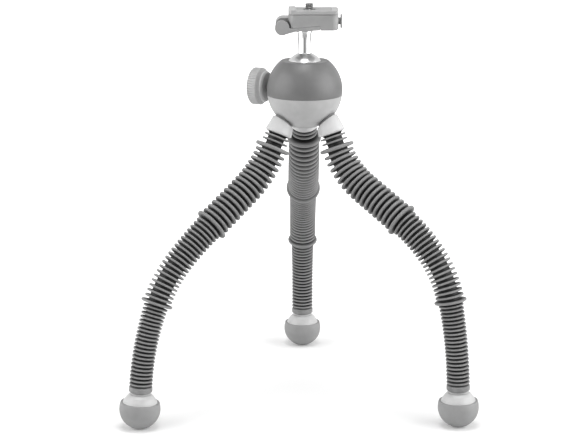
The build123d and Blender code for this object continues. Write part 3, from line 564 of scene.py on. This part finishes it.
for leg in legs:
    above_body, above_rings, above_name = None, None, None
    for link_name, own in links:
        body = "head" if link_name == "root" else f"{leg.name}_leg_{link_name}"
        loops, rims = [], []
        if link_name == "root":
            plug_at, plug_radius = plug_cone[1]
            loops = [plug_end(leg), circle(leg_place(leg, plug_at), 0.0, plug_radius, around_rib)]
            # The plug counts as rim, so it takes none of the painted shade of the gaps
            rims = [plug_rim_share] * (2 * around_rib)
        for ring in own:
            for along, radius in rib_outline(ring):
                loops.append(circle(leg_place(leg, ring.at), along, radius, around_rib))
                # How far each point stands out from the core sets how much painted shade it takes
                rims += [(radius - ring.core) / (ring.radius - ring.core)] * around_rib
        if link_name == "end":
            # The last link runs on as bare core into the ferrule, in the darkest painted shade of
            # the gaps
            ferrule_top = -ferrule_width / 2 + ferrule_tuck
            loops.append(circle(leg_place(leg, end_at), ferrule_top, own[-1].core, around_rib))
            rims += [0.0] * around_rib
        sleeve = skin(f"{leg.name}_sleeve_{link_name}", loops)
        rim_values = sleeve.data.attributes.new("rim", "FLOAT", "POINT")
        rim_values.data.foreach_set("value", rims)
        sleeve.data.materials.append(sleeve_rubber)
        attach(sleeve, body)
        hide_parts(f"{leg.name}_leg_{link_name}")
        if above_rings:
            last, first = above_rings[-1], own[0]
            joint_at = gap_middle(last, first)
            gap_start, gap_end = last.at + last.base / 2, first.at - first.base / 2
            core = run_between(
                f"{leg.name}_core_{link_name}",
                leg,
                gap_start - core_tuck,
                gap_end + core_tuck,
                min(last.core, first.core) * core_shrink,
                around_rib,
            )
            core.data.materials.append(sleeve_rubber)
            leg_place(leg, gap_start).translation
            leg_place(leg, gap_end).translation
            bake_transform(core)
            wire_part = run_between(
                f"{leg.name}_wire_{link_name}",
                leg,
                -wire_above_collar if above_name == "root" else (above_rings[0].at + joint_at) / 2,
                (joint_at + own[-1].at) / 2,
                wire_radius,
                around_wire,
            )
            wire_part.data.materials.append(wire)
            leg_place(leg, gap_start).translation
            leg_place(leg, gap_end).translation
            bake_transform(wire_part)
            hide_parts(f"{leg.name}_leg_wire")
        above_body, above_rings, above_name = body, own, link_name

# Leg caps: moulded cones of pale plastic that cover the root of each sleeve. They grip its
# plain root and stand just clear of the bowl.
cap_plastic = finish("cap_plastic", grey=0.79, roughness=0.42, grain=0.35 * mm, depth=0.008 * mm)
for leg in legs:
    dress(f"{leg.name}_leg_cap", cap_plastic)

# Ferrules: painted metal rings crimped on the ends of the legs. Each one ends the sleeve,
# holds the tip of the wire and has a stud that carries the foot.
ferrule_paint = finish(
    "ferrule_paint", grey=0.50, roughness=0.45, grain=0.3 * mm, depth=0.008 * mm, mottle=0.12
)
for leg in legs:
    dress(f"{leg.name}_leg_ferrule", ferrule_paint, ease=0.4 * mm, steps=3)

# Foot caps: pale domes turned with a bead and a fine groove under the ferrule, and faint
# steps from the lathe. The rubber pad grips each one from below.
foot_cap_plastic = finish(
    "foot_cap_plastic", grey=0.76, roughness=0.36, grain=0.35 * mm, depth=0.006 * mm
)
foot_cap_radius = 14.2 * mm
foot_cap_depth = 3.0 * mm
foot_neck_height = 13.0 * mm
foot_stud_bore = 3.1 * mm
foot_bore_depth = 11 * mm
foot_neck_radius = 7.5 * mm
bead_radius = 7.8 * mm
bead_ease = 0.15 * mm
bead_foot = 0.6 * mm
groove_radius = 7.2 * mm
groove_top = 0.75 * mm
groove_foot = 1.15 * mm
dome_top = 11.6 * mm
dome_step = 0.12 * mm
dome_bands = ((11.5, 9.4, 0.0), (9.3, 6.6, dome_step), (6.5, -2.6, 0.0))
dome_spacing = 0.8
dome_lip = 0.4 * mm
around_foot = 72


def on_dome(height, sink=0.0):
    """A point of the dome's outline at a height above its middle, sunk under its surface."""
    return height, math.sqrt(foot_cap_radius**2 - height**2) - sink


def turned(name, place, outline, count, sharp=30):
    """A piece turned about a frame's Z, from an outline of heights above it and radii."""
    return skin(name, [circle(place, -high, radius, count) for high, radius in outline], sharp)


cap_outline = [
    (foot_neck_height - foot_bore_depth, foot_stud_bore),
    (foot_neck_height, foot_stud_bore),
    (foot_neck_height, foot_neck_radius),
    (foot_neck_height - bead_ease, bead_radius),
    (foot_neck_height - bead_foot, bead_radius),
    (foot_neck_height - groove_top, groove_radius),
    (foot_neck_height - groove_foot, groove_radius),
    on_dome(dome_top, dome_step),
]
for top, low, sink in dome_bands:
    band_steps = max(3, round((top - low) / dome_spacing))
    for step in range(band_steps + 1):
        height = (top - (top - low) * step / band_steps) * mm
        cap_outline.append(on_dome(height, sink))
cap_outline.append(on_dome(-foot_cap_depth, dome_lip))
for leg in legs:
    foot_cap = turned(f"{leg.name}_foot_dome", leg_place(leg, foot_at), cap_outline, around_foot)
    foot_cap.data.materials.append(foot_cap_plastic)
    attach(foot_cap, f"{leg.name}_leg_end")
    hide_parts(f"{leg.name}_foot_cap")

# Foot pads: bowls of grey rubber, moulded and pressed over the caps from below. They are worn
# flat where they stand.
foot_rubber = finish("foot_rubber", grey=0.56, roughness=0.58, grain=0.4 * mm, depth=0.015 * mm)
for leg in legs:
    dress(f"{leg.name}_foot_pad", foot_rubber, ease=0.45 * mm, steps=3)

# Ball seat and brake shoe: acetal mouldings in the housing. The shoe is drawn sideways by the
# lock screw, and its ramp lifts the seat against the ball.
seat_plastic = finish("seat_plastic", grey=0.30, roughness=0.5, grain=0.3 * mm, depth=0.01 * mm)
dress("ball_seat", seat_plastic, ease=0)
dress("brake_shoe", seat_plastic, ease=0)

# Ball and stem: turned steel in one piece. The ball is satin, the stem polished, and a thin
# flange under the clamp takes the wrench.
ball_radius = 15.0 * mm
stem_radius = 5.1 * mm
stem_ease = 0.25 * mm
flange_radius = 5.9 * mm
stem_neck_radius = 4.6 * mm
ball_angles = range(3, 159, 3)
polished_steel = finish(
    "polished_steel", grey=0.93, roughness=0.10, grain=0.3 * mm, depth=0.0005 * mm, metal=1.0
)
satin_steel = finish(
    "satin_steel", grey=0.84, roughness=0.32, grain=0.3 * mm, depth=0.002 * mm, metal=1.0
)
stem_low, stem_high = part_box("ball_stem")
ball_at = Vector((head_x, head_y, stem_low[2] + ball_radius))
ball_place = Matrix.Translation(ball_at) @ Matrix.Rotation(math.pi, 4, "X")
stem_foot = math.sqrt(ball_radius**2 - stem_radius**2)
flange_low = 30.0 * mm
flange_high = 31.6 * mm
stem_top = stem_high[2] - stem_low[2] - ball_radius
stem_outline = [
    (-ball_radius * math.cos(math.radians(angle)), ball_radius * math.sin(math.radians(angle)))
    for angle in ball_angles
]
stem_outline += [
    (stem_foot + stem_ease, stem_radius + stem_ease),
    (stem_foot + 3 * stem_ease, stem_radius),
    (flange_low, stem_radius),
    (flange_low, flange_radius - stem_ease),
    (flange_low + stem_ease, flange_radius),
    (flange_high - stem_ease, flange_radius),
    (flange_high, flange_radius - stem_ease),
    (flange_high, stem_neck_radius),
    (stem_top, stem_neck_radius),
]
around_stem = 96
ball_and_stem = turned("turned_ball_stem", ball_place, stem_outline, around_stem)
ball_and_stem.data.materials.append(polished_steel)
ball_and_stem.data.materials.append(satin_steel)
ball_top = stem_low[2] + ball_radius + stem_foot
for face in ball_and_stem.data.polygons:
    face.material_index = 1 if face.center.z < ball_top else 0
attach(ball_and_stem, "ball_stem")
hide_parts("ball_stem")

# Upper shell: a moulded cover of darker grey plastic, with a round opening for the ball and a
# notch for the stem. Three steel screws hold it on the bowl.
steel = finish("steel", grey=0.62, roughness=0.3, grain=0.3 * mm, depth=0.005 * mm, metal=1.0)
shell_plastic = finish("shell_plastic", grey=0.42, roughness=0.40, grain=0.3 * mm, depth=0.01 * mm)
dress("upper_shell", shell_plastic, ease=0.4 * mm)
dress("housing_screws", steel, ease=0)

# Lock knob: a moulded knob with a grooved rim and a plain step behind it, on a steel screw
# that turns in a brass bush.
brass = finish("brass", grey=0.60, roughness=0.35, grain=0.3 * mm, depth=0.005 * mm, metal=1.0)
dress("knob_bush", brass, ease=0)
dress("lock_screw", steel, ease=0)
knob_plastic = finish("knob_plastic", grey=0.72, roughness=0.45, grain=0.3 * mm, depth=0.01 * mm)
dress("lock_knob", knob_plastic)

# Clamp: a painted die-cast body bolted to the stem, with a cam lever on a pin that pushes the
# jaw against the plate.
clamp_paint = finish("clamp_paint", grey=0.59, roughness=0.38, grain=0.25 * mm, depth=0.008 * mm)
dress("clamp_body", clamp_paint, ease=0.3 * mm)
dress("clamp_bolt", steel, ease=0)
dress("clamp_jaw", clamp_paint)
dress("clamp_lever", clamp_paint, ease=0.5 * mm)
dress("lever_pin", steel)

# Safety catch: a sprung plastic button on the clamp's end that lets the plate slide out.
# Its spring is a coil of round wire.
catch_plastic = finish("catch_plastic", grey=0.60, roughness=0.42, grain=0.3 * mm, depth=0.01 * mm)
dress("catch_button", catch_plastic, ease=0.4 * mm)
spring_low, spring_high = (Vector(corner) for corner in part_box("catch_spring"))
spring_middle = (spring_low + spring_high) / 2
spring_wire = 0.22 * mm
spring_radius = (spring_high.z - spring_low.z) / 2 - spring_wire
spring_turns = 4
steps_a_turn = 20
around_coil = 8
spring_length = spring_high.x - spring_low.x - 2 * spring_wire
spring_loops = []
for step in range(spring_turns * steps_a_turn + 1):
    turn = 2 * math.pi * step / steps_a_turn
    out = Vector((0, math.cos(turn), math.sin(turn)))
    along = spring_low.x + spring_wire + spring_length * step / (spring_turns * steps_a_turn)
    middle = Vector((along, spring_middle.y, spring_middle.z)) + out * spring_radius
    spring_loops.append(
        [
            middle + spring_wire * (out * math.cos(t) + Vector((math.sin(t), 0, 0)))
            for t in (2 * math.pi * number / around_coil for number in range(around_coil))
        ]
    )
coil = skin("catch_coil", spring_loops)
coil.data.materials.append(steel)
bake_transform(coil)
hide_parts("catch_spring")

# Quick-release plate: a painted metal plate that slides in the clamp's rail, with a thin
# rubber pad let into its top for the camera to sit on.
plate_paint = finish("plate_paint", grey=0.65, roughness=0.40, grain=0.25 * mm, depth=0.008 * mm)
dress("quick_release_plate", plate_paint, ease=0.35 * mm)
pad_rubber = finish("pad_rubber", grey=0.63, roughness=0.72, grain=0.5 * mm, depth=0.03 * mm)
dress("plate_pad", pad_rubber, ease=0.2 * mm)

# Camera screw: a turned steel screw with a quarter-inch thread for the camera's base. A spring
# ring holds it in the plate.
screw_low, screw_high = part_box("camera_screw")
screw_x = (screw_low[0] + screw_high[0]) / 2
screw_y = (screw_low[1] + screw_high[1]) / 2
screw_head_radius = (screw_high[0] - screw_low[0]) / 2
screw_head_height = 1.9 * mm
thread_radius = 3.175 * mm
thread_depth = 0.6 * mm
thread_pitch = 1.27 * mm
thread_steps = 10
thread_lead_in = 0.5 * mm
thread_lead_start = 0.25
thread_lead_share = 0.14
around_screw = 60
screw_steel = finish(
    "screw_steel", grey=0.50, roughness=0.25, grain=0.3 * mm, depth=0.003 * mm, metal=1.0
)


def thread_loop(height):
    """One level loop of the thread: its radius follows the helix round the screw."""
    loop = []
    for number in range(around_screw):
        turn = number / around_screw
        phase = (height / thread_pitch - turn) % 1.0
        ridge = 1 - abs(2 * phase - 1)
        lead = min(1.0, (screw_high[2] - height) / thread_lead_in + thread_lead_start)
        radius = thread_radius - thread_depth * (1 - ridge)
        radius *= 1 - thread_lead_share * (1 - lead)
        around = 2 * math.pi * turn
        x, y = radius * math.cos(around), radius * math.sin(around)
        loop.append(Vector((screw_x + x, screw_y + y, height)))
    return loop


thread_low = screw_low[2] + screw_head_height
thread_rows = math.ceil((screw_high[2] - thread_low) / thread_pitch * thread_steps)
screw_place = Matrix.Translation((screw_x, screw_y, 0))
thread_loops = [
    circle(screw_place, screw_low[2], screw_head_radius, around_screw),
    circle(screw_place, thread_low, screw_head_radius, around_screw),
    *(
        thread_loop(thread_low + (screw_high[2] - thread_low) * row / thread_rows)
        for row in range(thread_rows + 1)
    ),
]
threaded = skin("threaded_camera_screw", thread_loops, sharp=50)
threaded.data.materials.append(screw_steel)
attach(threaded, "camera_screw")
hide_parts("camera_screw")
dress("screw_keeper", steel, ease=0)
